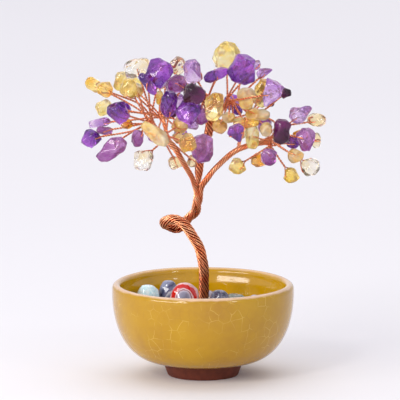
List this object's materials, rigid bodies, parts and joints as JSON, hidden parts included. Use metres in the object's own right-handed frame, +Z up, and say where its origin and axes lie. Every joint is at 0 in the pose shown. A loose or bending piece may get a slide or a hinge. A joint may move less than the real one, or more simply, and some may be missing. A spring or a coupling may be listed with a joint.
{
  "type": "gemstone tree ornament",
  "caption": "Free-standing ornament: a small tree of twisted copper wire with drilled amethyst and citrine chips on its twigs, set in plaster and pebbles in a glazed ceramic bowl.",
  "frame": {"origin": "centre of the bowl's foot ring, on the surface that it stands on", "axes": "+Z up along the bowl's axis, +X to the right in the front view, +Y to the back"},
  "size_m": [0.1228, 0.091, 0.1696],
  "materials": {
    "copper_wire": "bright drawn wire",
    "glazed_ceramic": "glossy crackle glaze, bare foot",
    "clear_stone": "tumbled, polished, translucent",
    "honey_stone": "tumbled, polished, translucent",
    "lemon_stone": "tumbled, polished, translucent",
    "lilac_stone": "tumbled, polished, translucent",
    "mauve_stone": "tumbled, polished, translucent",
    "peach_stone": "tumbled, polished, translucent",
    "pebble_blue_white": "polished",
    "pebble_grey_blue": "polished",
    "pebble_navy": "polished",
    "pebble_red_banded": "polished",
    "pebbles_cream": "polished",
    "pebbles_green_grey": "polished",
    "pebbles_lavender": "polished",
    "pebbles_slate": "polished",
    "plaster": "matt",
    "plum_stone": "tumbled, polished, translucent",
    "violet_stone": "tumbled, polished, translucent"
  },
  "bodies": {
    "root": {"back_left_bough": "copper_wire", "back_left_twigs": "copper_wire", "back_right_bough": "copper_wire", "back_right_twigs": "copper_wire", "bowl": "glazed_ceramic", "clear_chips_left": "clear_stone", "clear_chips_middle": "clear_stone", "clear_chips_right": "clear_stone", "crown_bough": "copper_wire", "crown_twigs": "copper_wire", "far_left_twigs": "copper_wire", "honey_chips_left": "honey_stone", "honey_chips_middle": "honey_stone", "honey_chips_right": "honey_stone", "left_limb": "copper_wire", "lemon_chips_left": "lemon_stone", "lemon_chips_middle": "lemon_stone", "lemon_chips_right": "lemon_stone", "lilac_chips_left": "lilac_stone", "lilac_chips_middle": "lilac_stone", "lilac_chips_right": "lilac_stone", "mauve_chips_left": "mauve_stone", "mauve_chips_middle": "mauve_stone", "mauve_chips_right": "mauve_stone", "middle_limb": "copper_wire", "near_left_twigs": "copper_wire", "peach_chips_left": "peach_stone", "peach_chips_middle": "peach_stone", "peach_chips_right": "peach_stone", "pebble_blue_white": "pebble_blue_white", "pebble_grey_blue": "pebble_grey_blue", "pebble_navy": "pebble_navy", "pebble_red_banded": "pebble_red_banded", "pebbles_cream": "pebbles_cream", "pebbles_green_grey": "pebbles_green_grey", "pebbles_lavender": "pebbles_lavender", "pebbles_slate": "pebbles_slate", "plaster_fill": "plaster", "plum_chips_left": "plum_stone", "plum_chips_middle": "plum_stone", "plum_chips_right": "plum_stone", "right_limb": "copper_wire", "right_twigs": "copper_wire", "top_twigs": "copper_wire", "violet_chips_left": "violet_stone", "violet_chips_middle": "violet_stone", "violet_chips_right": "violet_stone"}
  },
  "joints": []
}
